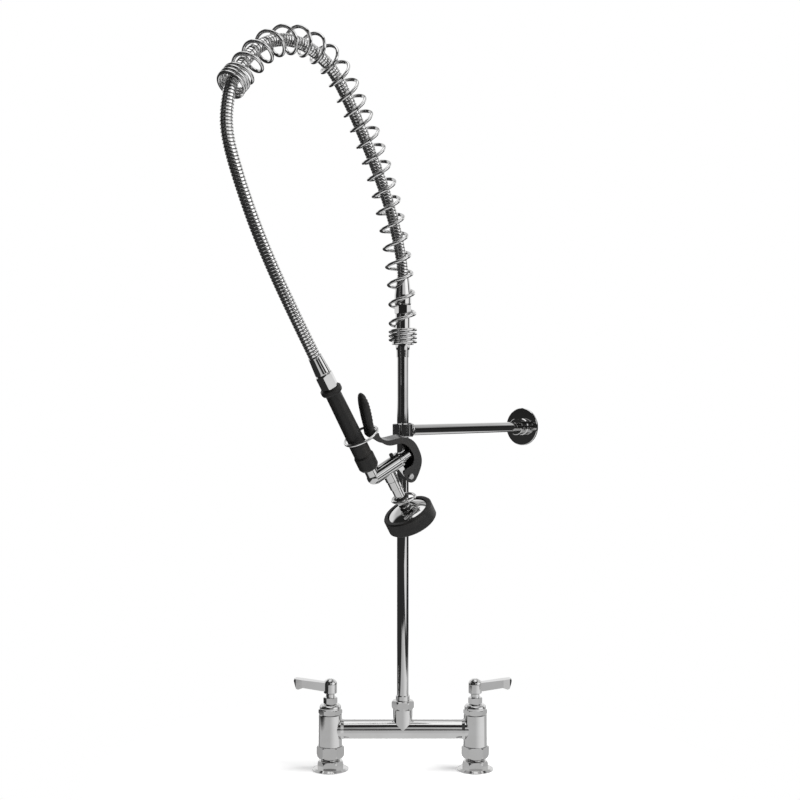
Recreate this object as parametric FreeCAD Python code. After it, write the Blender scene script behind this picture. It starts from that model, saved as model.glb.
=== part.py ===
import FreeCAD, Part
import math
import os

V = FreeCAD.Vector
UP = V(0, 0, 1)

# Pre rinse faucet for a restaurant sink, in millimetres, standing on the deck at Z = 0.
# X runs along the crossbar, +Y goes back to the wall, the origin is midway between the inlets.

# Clearances
running_gap = 0.06
fit_gap = 0.1
seat_gap = 0.3

# Chamfer of outer rims
rim_cut = 0.8

# Inlets on the deck
valve_spacing = 203.2
inlet_flange_d = 50.5
inlet_flange_t = 3.0
inlet_hex_flats = 31.0
inlet_hex_h = 10.5
tail_length = 24.5
tail_neck_d = 20.8
tail_shoulder_d = 26.4
tail_shoulder_t = 3.0
inlet_thread_d = 19.8
inlet_thread_depth = 13.0
waterway_d = 14.0
union_washer_t = 1.5
coupling_nut_flats = 33.6
coupling_nut_lip = 6.5
coupling_nut_show = 1.0

# Valve bodies and crossbar
body_spigot_d = 28.8
body_spigot_h = 8.0
body_d_low = 33.4
body_d_high = 32.6
body_height = 43.0
crossbar_d = 26.7
crossbar_bore = 16.0
crossbar_rise = 30.2
crossbar_root = 1.4
chamber_d = 20.4
chamber_depth = 28.5

# Ceramic cartridge, bonnet and stem
seat_seal_t = 1.5
seat_seal_wall = 2.5
disc_d = 14.6
disc_t = 3.0
disc_port_d = 11.2
disc_web = 2.4
cartridge_wall = 1.7
stem_flange_t = 3.0
stem_fork_w = 7.0
stem_d = 12.0
key_w = 4.0
key_h = 1.5
bonnet_flats = 29.0
bonnet_hex_h = 8.0
bonnet_dome_h = 6.5
bonnet_neck_wall = 1.3
bonnet_neck_h = 6.5
window_w = 8.0
window_h = 6.5
packing_nut_flats = 17.0
packing_nut_h = 9.0
packing_nut_lip = 2.5
stem_show = 5.6
spline_d = 9.0
spline_h = 11.0

# Lever handles
hub_d = 18.5
hub_h = 17.9
hub_web_z = 11.2
hub_web_t = 1.6
lever_reach = 51.2
lever_tip_w = 15.0
lever_root_w = 10.5
screw_d = 4.0
screw_head_d = 8.8
screw_head_h = 2.5
cap_d = 12.6
cap_h = 4.6

# Riser and its union
boss_d_low = 26.6
boss_d_high = 27.6
boss_height = 21.8
riser_spigot_d = 24.0
riser_spigot_h = 8.5
riser_seal_t = 1.5
riser_seal_wall = 3.5
collar_shoulder_d = 24.4
collar_shoulder_t = 4.0
collar_neck_d = 19.4
collar_neck_h = 12.0
collar_step = 2.0
union_nut_flats = 27.2
union_nut_skirt_d = 27.6
union_nut_top_d = 23.0
union_nut_over = 5.0
riser_d = 16.2
riser_bore = 12.6
riser_length = 498.0

# Wall bracket
bracket_height = 475.5
bracket_bearing = 49.7
eye_d = 28.6
eye_h = 18.5
clamp_boss_d = 18.5
clamp_reach = 20.0
clamp_collar = 3.0
bar_d = 15.5
bar_socket = 11.0
bracket_length = 295.0
wall_flange_d = 59.0
wall_flange_t = 3.0
flange_socket_d = 24.0
flange_socket_l = 16.0
flange_socket_rim = 2.6
set_screw_d = 5.0

# Adapter at the riser top
adapter_flats = 19.4
adapter_low_d = 17.8
adapter_high_d = 21.2
adapter_socket = 10.0
adapter_flare_h = 17.5
hub_spring_d = 31.0
hub_spring_h = 17.5
hub_rise = 1.5
adapter_neck_d = 20.8
adapter_neck_h = 25.5
hose_washer_t = 1.5
hose_nut_flats = 20.2
hose_nut_h = 12.5
hose_spigot_d = 15.8
hose_spigot_h = 12.0
ferrule_d = 23.7
ferrule_mouth_d = 17.9
ferrule_length = 38.5
ferrule_straight = 14.0

# Spring: its axis leaves the riser upright and bends over in one upright plane
spring_bearing = 47.0
spring_d = 39.4
spring_wire = 3.9
spring_start = 6.0
spring_upright = 21.0
spring_bend = [(512.0, 40.5), (92.0, 68.0), (118.0, 29.5)]
spring_tail = 60.0
closed_turns = 4.5
closed_gap = 0.5
open_turns = 23.0
spring_phase = 17.0

# Ribbed hose
hose_d = 16.3
hose_valley_d = 14.6
hose_bore = 9.6
rib_pitch = 4.56
hose_grip = 16.0

# Where the hose lies off the spring's axis, positive towards the inside of the bend:
# distance along the axis, offset, slope
hose_drift = [
    (110.5, -6.6, 0.0),
    (215.0, 0.0, 0.09),
    (320.0, 6.0, 0.0),
    (420.0, 6.0, 0.0),
    (560.0, -5.8, 0.0),
]
hose_mouth = (618.0, 6.3, 0.577)

# Free hose between the mouth of the spring and the handle
mouth_run = 22.0
free_points = [
    V(-213.3, -234.1, 839.0),
    V(-206.6, -232.3, 811.0),
    V(-195.2, -226.6, 773.0),
    V(-179.8, -216.0, 727.0),
    V(-159.4, -199.4, 676.0),
    V(-137.0, -179.6, 626.0),
]
handle_run = 36.0

# Spray valve: place of its elbow, direction up the handle and direction away from the viewer
spray_place = V(-38.5, -88.0, 415.3)
handle_up = V(-0.3956, -0.3644, 0.8430)
spray_back = V(-0.4752, 0.8667, 0.1517)

# Handle of the spray valve, heights measured up the handle from the elbow
inlet_tube_d = 17.6
inlet_tube_h = 16.0
handle_tube_d = 16.0
handle_tube_bore = 11.0
grip_collar_d = 27.2
grip_collar_low = 14.5
grip_collar_high = 36.0
sleeve_d = 24.4
sleeve_high = 55.0
grip_d_low = 23.0
grip_d_high = 21.0
grip_high = 140.8
grip_flare_d = 28.4
grip_flare_h = 9.0
lower_nut_flats = 21.0
lower_nut_h = 20.0
lower_spigot_h = 12.0
lower_ferrule_d = 20.8
lower_ferrule_h = 26.0

# Body of the spray valve, lengths measured along the barrel from the elbow
elbow_d = 19.6
barrel_d = 20.8
barrel_length = 41.0
barrel_bore = 15.2
barrel_bore_start = -4.0
inlet_bore = 12.0
bonnet_ring_d = 23.2
bonnet_ring_t = 3.0
cap_low_d = 16.8
cap_high_d = 14.6
cap_length = 15.0
bonnet_thread_l = 9.0
seat_at = 14.0
seat_t = 2.0
seat_hole = 8.4
seat_disc_t = 4.0
seat_disc_d = 12.4
plunger_d = 6.0
plunger_rod_d = 4.0
coil_wire = 0.9
coil_d = 9.0
coil_turns = 5
outlet_at = 21.3
outlet_d = 17.6
outlet_step = 19.0
outlet_neck_d = 16.2
outlet_neck_end = 32.0
outlet_tip_d = 14.2
outlet_end = 47.0
outlet_bore = 9.0
stud_at = 35.4
stud_d = 5.4
stud_top = 15.0
stud_depth = 2.4

# Squeeze lever
pivot_at = (43.7, -25.0)
pivot_d = 5.1
pivot_head_d = 8.2
pivot_head_t = 2.1
pivot_slot_w = 1.0
pivot_slot_h = 0.8
ear_r = 7.0
lever_w = 21.6
lever_wall = 2.1
squeeze_angle = 5.5
push_gap = 0.45
lever_outer = [
    (29.4, 53.7), (28.9, 47.6), (33.2, 40.2), (43.3, 34.7), (54.3, 30.8), (62.6, 25.6),
    (69.7, 13.8), (70.8, 0.7), (67.9, -14.1), (59.0, -25.2), (50.1, -32.0),
]
lever_inner = [
    (36.9, -21.2), (38.4, -13.8), (52.2, -12.4), (59.1, -5.3), (60.0, 7.6), (56.6, 18.1),
    (52.4, 22.7), (39.8, 27.8), (30.5, 34.7), (25.5, 43.0), (20.5, 49.0), (18.8, 54.8),
]
tang = [(27.3, 51.0), (29.1, 51.0), (26.8, 58.0), (29.5, 84.0), (27.3, 84.0), (24.8, 58.0)]
tang_w = 12.0
trigger_left = [(16.2, 55.0), (16.5, 61.8), (19.6, 76.0), (24.1, 93.1), (28.7, 108.1)]
trigger_tip = (33.8, 112.0)
trigger_right = [(36.9, 104.8), (36.7, 96.0), (35.6, 87.0), (33.6, 78.0), (31.2, 69.0), (28.6, 60.5)]
trigger_w = 24.0
trigger_round = 20.0
nest_gap = 0.6
ridge_height = 1.2

# Rings
hold_ring_d = 50.0
hold_ring_wire = 3.8
hold_ring_at = (9.0, 59.8)
hang_ring_d = 35.2
hang_ring_wire = 3.9
hang_ring_at = (24.65, -51.1)
hang_ring_tilt = 13.0

# Spray head, heights measured down from the barrel's axis
ring_washer_d = 19.2
ring_washer_t = 2.0
outlet_nut_flats = 14.2
outlet_nut_h = 13.0
dish_washer_d = 16.0
dish_washer_t = 2.0
dish_d = 60.0
dish_dome = 8.0
dish_skirt = 8.0
dish_wall = 1.8
face_t = 2.0
face_plug_t = 1.5
spray_rings = [(20.0, 12), (11.0, 6)]
spray_hole_d = 2.4
bumper_d = 69.6
bumper_h = 21.0
bumper_mouth_d = 52.0
bumper_lip_d = 57.2


# Shapes that the pieces are made of
def profile(corners, upright=True):
    """Flat face in the XZ plane, or in XY; a corner with four numbers is an arc's middle and its end."""
    def at(a, b):
        return V(a, 0, b) if upright else V(a, b, 0)

    last = at(*corners[0])
    edges = []
    for corner in corners[1:] + corners[:1]:
        end = at(*corner[-2:])
        if len(corner) == 4:
            edges.append(Part.Arc(last, at(*corner[:2]), end).toShape())
        else:
            edges.append(Part.LineSegment(last, end).toShape())
        last = end
    return Part.Face(Part.Wire(edges))


def turned(corners):
    """Solid of revolution about Z; corners are radius and height."""
    return profile(corners).revolve(V(), UP, 360)


def disc(d, low, high):
    return Part.makeCylinder(d / 2, high - low, V(0, 0, low))


def ring(d, hole, low, high):
    return turned([(hole / 2, low), (d / 2, low), (d / 2, high), (hole / 2, high)])


def slab(face, width):
    """The upright face made into a plate, half its width to each side."""
    plate = face.extrude(V(0, width, 0))
    plate.translate(V(0, -width / 2, 0))
    return plate


def hexagon(flats, low, high):
    reach = flats / math.sqrt(3)
    turns = [math.radians(60 * i) for i in range(6)]
    corners = [V(reach * math.cos(a), reach * math.sin(a), low) for a in turns]
    return Part.Face(Part.makePolygon(corners + corners[:1])).extrude(V(0, 0, high - low))


def nut(flats, low, high, bore):
    """Hexagon with its corners turned down at both ends."""
    reach = flats / math.sqrt(3)
    rim = flats * 0.485
    drop = (reach - rim) * 0.6
    barrel = [
        (bore / 2, low), (rim, low), (reach, low + drop), (reach, high - drop), (rim, high), (bore / 2, high),
    ]
    return hexagon(flats, low, high).common(turned(barrel))


def put(shape, place):
    moved = shape.copy()
    moved.Placement = place.multiply(moved.Placement)
    return moved


def shifted(shape, x=0.0, y=0.0, z=0.0):
    return put(shape, FreeCAD.Placement(V(x, y, z), FreeCAD.Rotation()))


LYING = FreeCAD.Placement(V(), FreeCAD.Rotation(V(0, 1, 0), 90))


def lying(shape):
    """What stood along Z now lies along X."""
    return put(shape, LYING)


def smooth(points):
    curve = Part.BSplineCurve()
    curve.interpolate([V(x, 0, z) for x, z in points])
    return curve


def beside(curve, points, gap):
    """Points beside a curve, to the left of its direction."""
    moved = []
    for x, z in points:
        along = curve.tangent(curve.parameter(V(x, 0, z)))[0]
        moved.append((x - along.z * gap, z + along.x * gap))
    return moved


def closed_face(curves):
    """Face between curves given end to end, with straight lines where they don't meet."""
    edges = []
    for curve, following in zip(curves, curves[1:] + curves[:1]):
        edges.append(curve.toShape())
        a = curve.EndPoint
        b = following.StartPoint
        if a.distanceToPoint(b) > 0.001:
            edges.append(Part.LineSegment(a, b).toShape())
    return Part.Face(Part.Wire(edges))


def save(name, *solids):
    shape = solids[0] if len(solids) == 1 else Part.makeCompound(list(solids))
    shape.exportStep("parts/" + name + ".step")
    volume = sum(solid.Volume for solid in solids)
    print(name, "solids", len(shape.Solids), "volume", round(volume, 1), "valid", shape.isValid())


# Courses: runs of straight line and arc that a spring or a hose follows
class Run:
    """Straight where the radius is None; 'inward' points to the inside of the bend."""

    def __init__(self, point, heading, inward, radius, length):
        self.point = point
        self.heading = heading
        self.inward = inward
        self.radius = radius
        self.length = length

    def at(self, along):
        if self.radius is None:
            return self.point + self.heading * along, self.heading, self.inward
        turn = along / self.radius
        c = math.cos(turn)
        s = math.sin(turn)
        point = self.point + self.heading * (self.radius * s) + self.inward * (self.radius * (1 - c))
        return point, self.heading * c + self.inward * s, self.inward * c - self.heading * s


def course(point, heading, inward, runs):
    made = []
    for radius, length in runs:
        run = Run(point, heading, inward, radius, length)
        made.append(run)
        point, heading, inward = run.at(length)
    return made


def on_course(runs, along):
    for run in runs:
        if along <= run.length or run is runs[-1]:
            return run.at(along)
        along -= run.length


def length_of(runs):
    return sum(run.length for run in runs)


def bent_arc(a, corner, b):
    """Arc from a to b whose tangents meet at the corner."""
    middle = (a + b) * 0.5
    half = (b - a).Length / 2
    height = (corner - middle).Length
    if height < 1e-6:
        return Part.LineSegment(a, b).toShape()
    leg = (corner - a).Length
    radius = leg * half / height
    sag = radius * (1 - half / leg)
    return Part.Arc(a, middle + (corner - middle).normalize() * sag, b).toShape()


def biarc(a, way_a, b, way_b):
    """Two tangent arcs from a to b with the given directions at their ends."""
    gap = b - a
    ways = way_a + way_b
    k = 4 - ways.dot(ways)
    m = gap.dot(ways)
    reach = (-m + math.sqrt(m * m + k * gap.dot(gap))) / k
    joint = (a + way_a * reach + b - way_b * reach) * 0.5
    return [bent_arc(a, a + way_a * reach, joint), bent_arc(joint, b - way_b * reach, b)]


def coil(axis, along, turns, d, wire, phase):
    """One unbroken round wire wound about an axis; 'along' gives the way along it for each turn."""
    radius = (d - wire) / 2

    def point(turn):
        centre, heading, inward = axis(along(turn))
        a = 2 * math.pi * turn + math.radians(phase)
        return centre + inward * (radius * math.cos(a)) + heading.cross(inward) * (radius * math.sin(a))

    def way(turn):
        before = max(0.0, turn - 1e-4)
        after = min(turns, turn + 1e-4)
        return (point(after) - point(before)).normalize()

    stops = [i / 2 for i in range(int(round(turns * 2)) + 1)]
    start = point(0) - way(0) * wire
    edges = [Part.LineSegment(start, point(0)).toShape()]
    for a, b in zip(stops, stops[1:]):
        edges += biarc(point(a), way(a), point(b), way(b))
    end = point(turns)
    edges.append(Part.LineSegment(end, end + way(turns) * wire).toShape())
    path = Part.Wire(edges)
    shell = Part.BRepOffsetAPI.MakePipeShell(path)
    shell.add(Part.Wire(Part.makeCircle(wire / 2, start, way(0))))
    shell.build()
    shell.makeSolid()
    return shell.shape(), path, point


def least_gap(point, turns, wire):
    """Least gap between a coil's turns, measured on points a twelfth of a turn apart."""
    steps = 12
    places = [point(i / steps) for i in range(int(turns * steps) + 1)]
    least = 1e9
    for i, a in enumerate(places):
        for b in places[i + steps // 2:i + 3 * steps]:
            least = min(least, (a - b).Length)
    return least - wire


def circle(centre, heading, side, d):
    round_edge = Part.Circle(centre, heading, d / 2)
    round_edge.XAxis = side
    return Part.Wire(round_edge.toShape())


def ribbed(axis, length, steady):
    """Ribbed tube with its bore, both ruled through circles."""
    count = int(round(length / rib_pitch))
    pitch = length / count

    def hoop(along, d):
        centre, heading = axis(along)[:2]
        return circle(centre, heading, steady.cross(heading).normalize(), d)

    outside = []
    inside = []
    for i in range(count):
        for share, d in ((0.0, hose_valley_d), (0.2, hose_valley_d), (0.4, hose_d), (0.8, hose_d)):
            outside.append(hoop((i + share) * pitch, d))
        if i % 2 == 0:
            inside.append(hoop(i * pitch, hose_bore))
    outside.append(hoop(length, hose_valley_d))
    inside.append(hoop(length, hose_bore))
    return Part.makeLoft(outside, True, True).cut(Part.makeLoft(inside, True, True)), count


# Heights that follow from the sizes above
tail_top = tail_length
body_bottom = tail_top + union_washer_t
body_shoulder = body_bottom + body_spigot_h
body_top = body_shoulder + body_height
crossbar_z = body_bottom + crossbar_rise
chamber_floor = body_top - chamber_depth
disc_low = chamber_floor + seat_seal_t
disc_mid = disc_low + disc_t
disc_high = disc_mid + disc_t
stem_low = disc_high + stem_flange_t
bonnet_top = body_top + bonnet_hex_h + bonnet_dome_h
packing_low = bonnet_top + 0.5
packing_top = packing_low + packing_nut_h
hub_low = packing_top + stem_show
hub_web = hub_low + hub_web_z
hub_seat = hub_web + hub_web_t
cap_low = hub_seat + screw_head_h + 0.2
boss_top = crossbar_z + boss_height
spigot_top = boss_top + riser_spigot_h
collar_low = spigot_top + riser_seal_t
collar_shoulder = collar_low + collar_shoulder_t
collar_top = collar_shoulder + collar_neck_h
riser_low = collar_low + collar_step
riser_top = riser_low + riser_length
adapter_low = riser_top - adapter_socket
spring_low = riser_top + spring_start
adapter_top = spring_low + hub_rise + hub_spring_h + adapter_neck_h
hose_nut_low = adapter_top
hose_nut_top = hose_nut_low + hose_nut_h
ferrule_top = hose_nut_top + ferrule_length


# Inlets and valve bodies, each made on its own axis
def inlet_flange():
    rim = inlet_flange_d / 2
    neck = tail_neck_d / 2
    shoulder = tail_shoulder_d / 2
    thread = inlet_thread_d / 2
    tail = turned([
        (thread, 0), (rim, 0), (rim, rim_cut), (rim - 3.5, inlet_flange_t), (neck, inlet_flange_t),
        (neck, tail_top - tail_shoulder_t), (shoulder, tail_top - tail_shoulder_t), (shoulder, tail_top),
        (waterway_d / 2, tail_top), (waterway_d / 2, inlet_thread_depth), (thread, inlet_thread_depth),
    ])
    top = inlet_flange_t + inlet_hex_h
    reach = inlet_hex_flats / math.sqrt(3)
    barrel = turned([
        (thread, inlet_flange_t), (reach, inlet_flange_t), (reach, top - 5.5),
        (reach - 1.6, top - 1.8, neck + 1.0, top), (neck - 0.1, top), (neck - 0.1, inlet_thread_depth),
        (thread, inlet_thread_depth),
    ])
    return tail.fuse(hexagon(inlet_hex_flats, inlet_flange_t, top).common(barrel)).removeSplitter()


def coupling_nut():
    low = tail_top - tail_shoulder_t - coupling_nut_lip
    high = body_shoulder - coupling_nut_show
    reach = coupling_nut_flats / math.sqrt(3)
    lip = tail_neck_d / 2 + fit_gap
    inside = body_spigot_d / 2 + fit_gap
    barrel = turned([
        (lip, low), (lip + 3.0, low), (reach - 1.4, low + 3.2, reach, low + 8.0), (reach, high - 1.2),
        (coupling_nut_flats * 0.52, high), (inside, high), (inside, low + coupling_nut_lip),
        (lip, low + coupling_nut_lip),
    ])
    return hexagon(coupling_nut_flats, low, high).common(barrel)


def union_washer():
    return ring(tail_shoulder_d, tail_shoulder_d - 9.4, tail_top, body_bottom)


def bridge_body():
    """Both valve bodies, the crossbar and the riser boss, cast as one."""
    bar = lying(disc(crossbar_d, -valve_spacing / 2, valve_spacing / 2))
    whole = shifted(bar, z=crossbar_z)
    low = body_d_low / 2
    high = body_d_high / 2
    spigot = body_spigot_d / 2
    for sign in (-1, 1):
        body = turned([
            (0, body_bottom), (spigot, body_bottom), (spigot, body_shoulder), (low, body_shoulder),
            (high, body_top), (0, body_top),
        ])
        whole = whole.fuse(shifted(body, x=sign * valve_spacing / 2))
        start = valve_spacing / 2 - high - 2 * crossbar_root
        root = Part.makeCone(
            crossbar_d / 2, crossbar_d / 2 + crossbar_root, 3 * crossbar_root,
            V(sign * start, 0, crossbar_z), V(sign, 0, 0))
        whole = whole.fuse(root)
    boss = turned([
        (0, crossbar_z), (boss_d_low / 2, crossbar_z), (boss_d_high / 2, boss_top),
        (riser_spigot_d / 2, boss_top), (riser_spigot_d / 2, spigot_top), (0, spigot_top),
    ])
    whole = whole.fuse(boss).removeSplitter()
    bore = lying(disc(crossbar_bore, -valve_spacing / 2, valve_spacing / 2))
    whole = whole.cut(shifted(bore, z=crossbar_z))
    for sign in (-1, 1):
        x = sign * valve_spacing / 2
        whole = whole.cut(shifted(disc(waterway_d, body_bottom, chamber_floor), x=x))
        whole = whole.cut(shifted(disc(chamber_d, chamber_floor, body_top), x=x))
    return whole.cut(disc(riser_bore, crossbar_z, spigot_top))


def half_ports():
    """Two half moons with a web between them, as one cutting shape."""
    web = Part.makeBox(disc_port_d, disc_web, 2 * disc_t, V(-disc_port_d / 2, -disc_web / 2, 0))
    return disc(disc_port_d, 0, 2 * disc_t).cut(web)


def fixed_disc():
    return disc(disc_d, disc_low, disc_mid).cut(shifted(half_ports(), z=disc_low - disc_t / 2))


def moving_disc():
    """Closed with its ports square to the fixed ones; the stem's key fits the slot on top."""
    ports = shifted(half_ports(), z=disc_mid - disc_t / 2)
    ports.rotate(V(), UP, 90)
    slot = Part.makeBox(
        key_w + 2 * fit_gap, disc_port_d, key_h, V(-key_w / 2 - fit_gap, -disc_port_d / 2, disc_high - key_h))
    return disc(disc_d, disc_mid, disc_high).cut(ports).cut(slot)


def seat_seal():
    outside = disc_d + 2 * fit_gap + 2 * cartridge_wall
    return ring(outside, outside - 2 * seat_seal_wall, chamber_floor, disc_low)


def bonnet():
    inside = disc_d / 2 + fit_gap
    sleeve = inside + cartridge_wall
    bore = stem_d / 2 + running_gap
    neck = bore + bonnet_neck_wall
    thread = chamber_d / 2 - fit_gap
    hex_top = body_top + bonnet_hex_h
    shoulder = body_top - chamber_depth * 0.4
    dome = bonnet_flats / 2 + 0.4
    body = turned([
        (bore, stem_low + seat_gap), (inside, stem_low + seat_gap), (inside, disc_low), (sleeve, disc_low),
        (sleeve, shoulder), (thread, shoulder), (thread, body_top), (bonnet_flats / 2 - 0.5, body_top),
        (bonnet_flats / 2 - 0.5, hex_top - 1), (dome, hex_top - 1), (dome, hex_top + 0.5),
        (dome - 0.6, bonnet_top - 2.2, dome - 2.6, bonnet_top - 0.6), (neck + 1.2, bonnet_top),
        (neck, bonnet_top), (neck, bonnet_top + bonnet_neck_h), (bore, bonnet_top + bonnet_neck_h),
    ])
    body = body.fuse(nut(bonnet_flats, body_top, hex_top, 2 * thread)).removeSplitter()
    window = Part.makeBox(
        2 * sleeve + 2, window_w, window_h, V(-sleeve - 1, -window_w / 2, disc_high + 1))
    return body.cut(window)


def spindle():
    """Fork with a key below, round stem, and the spline that carries the handle."""
    fork = disc(disc_d - 0.4, disc_high, stem_low).common(
        Part.makeBox(stem_fork_w, disc_d, stem_flange_t, V(-stem_fork_w / 2, -disc_d / 2, disc_high)))
    key_l = disc_port_d - 2 * fit_gap
    key = Part.makeBox(key_w, key_l, key_h, V(-key_w / 2, -key_l / 2, disc_high - key_h))
    stem = turned([
        (0, stem_low), (stem_d / 2, stem_low), (stem_d / 2, hub_low), (spline_d / 2, hub_low),
        (spline_d / 2, hub_low + spline_h), (screw_d / 2 + fit_gap, hub_low + spline_h),
        (screw_d / 2 + fit_gap, hub_low + 1.5), (0, hub_low + 1.5),
    ])
    return stem.fuse([fork, key]).removeSplitter()


def packing_nut():
    neck = stem_d / 2 + running_gap + bonnet_neck_wall + fit_gap
    hollow_top = packing_top - packing_nut_lip
    whole = nut(packing_nut_flats, packing_low, packing_top, stem_d + 2 * running_gap)
    return whole.cut(disc(2 * neck, packing_low, hollow_top))


def lever_handle():
    """Hub with a flat arm that rises and flares to its tip, pointing along +X."""
    top = hub_low + hub_h
    r = hub_d / 2
    hub = turned([
        (0, hub_low), (r - rim_cut, hub_low), (r, hub_low + rim_cut), (r, top - 6.0),
        (r - 0.5, top - 2.6, r - 2.2, top), (0, top),
    ])
    side = profile([
        (r - 4, hub_low + 3.6), (r + 2, hub_low + 3.9), (lever_reach - 13, hub_low + 8.7),
        (lever_reach - 6.2, hub_low + 6.2), (lever_reach - 3.4, hub_low + 7.2), (lever_reach, hub_low + 17.4),
        (lever_reach - 1.0, hub_low + 20.0, lever_reach - 3.8, hub_low + 20.7), (r - 4, hub_low + 15.0),
    ])
    plan = profile([
        (0, -lever_root_w / 2), (lever_reach - 12, -lever_tip_w / 2),
        (lever_reach - 3, -lever_tip_w / 2 + 1.2),
        (lever_reach + 0.4, 0, lever_reach - 3, lever_tip_w / 2 - 1.2),
        (lever_reach - 12, lever_tip_w / 2), (0, lever_root_w / 2),
    ], upright=False)
    tall = plan.extrude(V(0, 0, hub_h + 10))
    arm = slab(side, lever_tip_w + 2).common(shifted(tall, z=hub_low))
    whole = hub.fuse(arm).removeSplitter()
    whole = whole.cut(disc(spline_d + 2 * fit_gap, hub_low, hub_web))
    whole = whole.cut(disc(screw_d + 2 * fit_gap, hub_web, hub_seat))
    whole = whole.cut(disc(screw_head_d + 0.8, hub_seat, cap_low))
    return whole.cut(disc(cap_d + 2 * fit_gap, cap_low, top + 1))


def lever_screw():
    shank = disc(screw_d, hub_web - 8.0, hub_seat)
    head = turned([
        (0, hub_seat), (screw_head_d / 2, hub_seat), (screw_head_d / 2, hub_seat + screw_head_h - 0.6),
        (screw_head_d / 2 - 0.6, hub_seat + screw_head_h), (0, hub_seat + screw_head_h),
    ])
    socket = hexagon(screw_d * 0.75, hub_seat + 1.0, hub_seat + screw_head_h)
    return shank.fuse(head).removeSplitter().cut(socket)


def index_cap():
    r = cap_d / 2
    return turned([
        (0, cap_low), (r, cap_low), (r, cap_low + cap_h * 0.45),
        (r * 0.7, cap_low + cap_h * 0.86, r * 0.2, cap_low + cap_h), (0, cap_low + cap_h),
    ])


def mirrored(shape):
    return shape.mirror(V(), V(1, 0, 0))


# Riser and its union
def union_nut():
    reach = union_nut_flats / math.sqrt(3)
    skirt = union_nut_skirt_d / 2
    inside = collar_shoulder_d / 2 + fit_gap
    lip = collar_neck_d / 2 + fit_gap
    top = collar_shoulder + union_nut_over
    low = turned([(inside, boss_top), (skirt, boss_top), (skirt, spigot_top + 1), (inside, spigot_top + 1)])
    barrel = turned([
        (lip, collar_shoulder), (inside, collar_shoulder), (inside, spigot_top - 2), (skirt, spigot_top - 2),
        (reach, spigot_top + 0.5), (reach, top - 4.5), (reach - 1.2, top - 1.6, union_nut_top_d / 2, top),
        (lip, top),
    ])
    return hexagon(union_nut_flats, spigot_top - 2, top).common(barrel).fuse(low).removeSplitter()


def riser_collar():
    shoulder = collar_shoulder_d / 2
    neck = collar_neck_d / 2
    socket = riser_d / 2
    return turned([
        (riser_bore / 2, collar_low), (shoulder, collar_low), (shoulder, collar_shoulder),
        (neck, collar_shoulder), (neck, collar_top - 1), (neck - 0.8, collar_top), (socket, collar_top),
        (socket, riser_low), (riser_bore / 2, riser_low),
    ])


def riser_seal():
    return ring(riser_spigot_d, riser_spigot_d - 2 * riser_seal_wall, spigot_top, collar_low)


# Wall bracket, made with its bar along X and then turned to its bearing
BRACKET = FreeCAD.Placement(V(0, 0, bracket_height), FreeCAD.Rotation(UP, bracket_bearing))
screw_way = V(0, -math.cos(math.radians(15)), -math.sin(math.radians(15)))


def set_screw(at, outside, d):
    """Headless screw from the outside of a socket in to the bar."""
    start = bar_d / 2 + fit_gap
    return Part.makeCylinder(d / 2, outside - start, V(at, 0, 0) + screw_way * start, screw_way)


def bracket_clamp():
    half = eye_h / 2
    r = eye_d / 2
    eye = turned([
        (0, -half), (r - rim_cut, -half), (r, -half + rim_cut), (r, half - rim_cut), (r - rim_cut, half),
        (0, half),
    ])
    boss = clamp_boss_d / 2
    end = clamp_reach - clamp_collar
    arm = lying(turned([
        (0, 0), (boss, 0), (boss, end - 2.6), (boss + 0.9, end - 2.2), (boss + 0.9, end - 0.6),
        (boss, end), (boss - 0.8, end), (boss - 0.8, clamp_reach), (0, clamp_reach),
    ]))
    whole = eye.fuse(arm).removeSplitter()
    whole = whole.cut(disc(riser_d + 2 * running_gap, -half - 1, half + 1))
    whole = whole.cut(lying(disc(bar_d + 2 * fit_gap, clamp_reach - bar_socket, clamp_reach)))
    return whole.cut(set_screw(clamp_screw_at, clamp_boss_d, set_screw_d + 2 * fit_gap))


clamp_screw_at = clamp_reach - clamp_collar - 3.4
flange_front = bracket_length - wall_flange_t
flange_screw_at = flange_front - flange_socket_l + 7.0


def bracket_bar():
    return lying(disc(bar_d, clamp_reach - bar_socket, flange_front))


def wall_flange():
    r = wall_flange_d / 2
    socket = flange_socket_d / 2
    start = flange_front - flange_socket_l
    bore = bar_d / 2 + fit_gap
    whole = lying(turned([
        (0, bracket_length), (r, bracket_length), (r, flange_front + rim_cut), (r - rim_cut, flange_front),
        (socket + 1.2, flange_front), (socket, flange_front - 1.4), (socket, start + flange_socket_rim),
        (socket + 0.8, start + flange_socket_rim - 0.6), (socket + 0.8, start + 0.6), (socket, start),
        (bore, start), (bore, flange_front), (0, flange_front),
    ]))
    return whole.cut(set_screw(flange_screw_at, flange_socket_d, set_screw_d + 2 * fit_gap))


# Adapter, hose end and ferrule at the riser top
def riser_adapter():
    flare_top = adapter_low + adapter_flare_h
    bore = riser_bore / 2
    spigot = hose_spigot_d / 2 + fit_gap
    socket = adapter_top - hose_spigot_h - hose_washer_t
    hub = hub_spring_d / 2
    hub_base = spring_low + hub_rise
    hub_top = hub_base + hub_spring_h
    neck = adapter_neck_d / 2
    flare = turned([
        (riser_d / 2, adapter_low), (adapter_low_d / 2, adapter_low), (adapter_low_d / 2 + 0.3, riser_top),
        (adapter_high_d / 2, flare_top), (bore, flare_top), (bore, riser_top), (riser_d / 2, riser_top),
    ])
    flare = flare.common(hexagon(adapter_flats, adapter_low, flare_top))
    upper = turned([
        (bore, flare_top), (adapter_high_d / 2, flare_top), (hub, hub_base), (hub, hub_top - 2),
        (neck, hub_top), (neck, adapter_top - 0.5), (neck - 0.5, adapter_top), (spigot, adapter_top),
        (spigot, socket), (bore, socket),
    ])
    return upper.fuse(flare)


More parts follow.
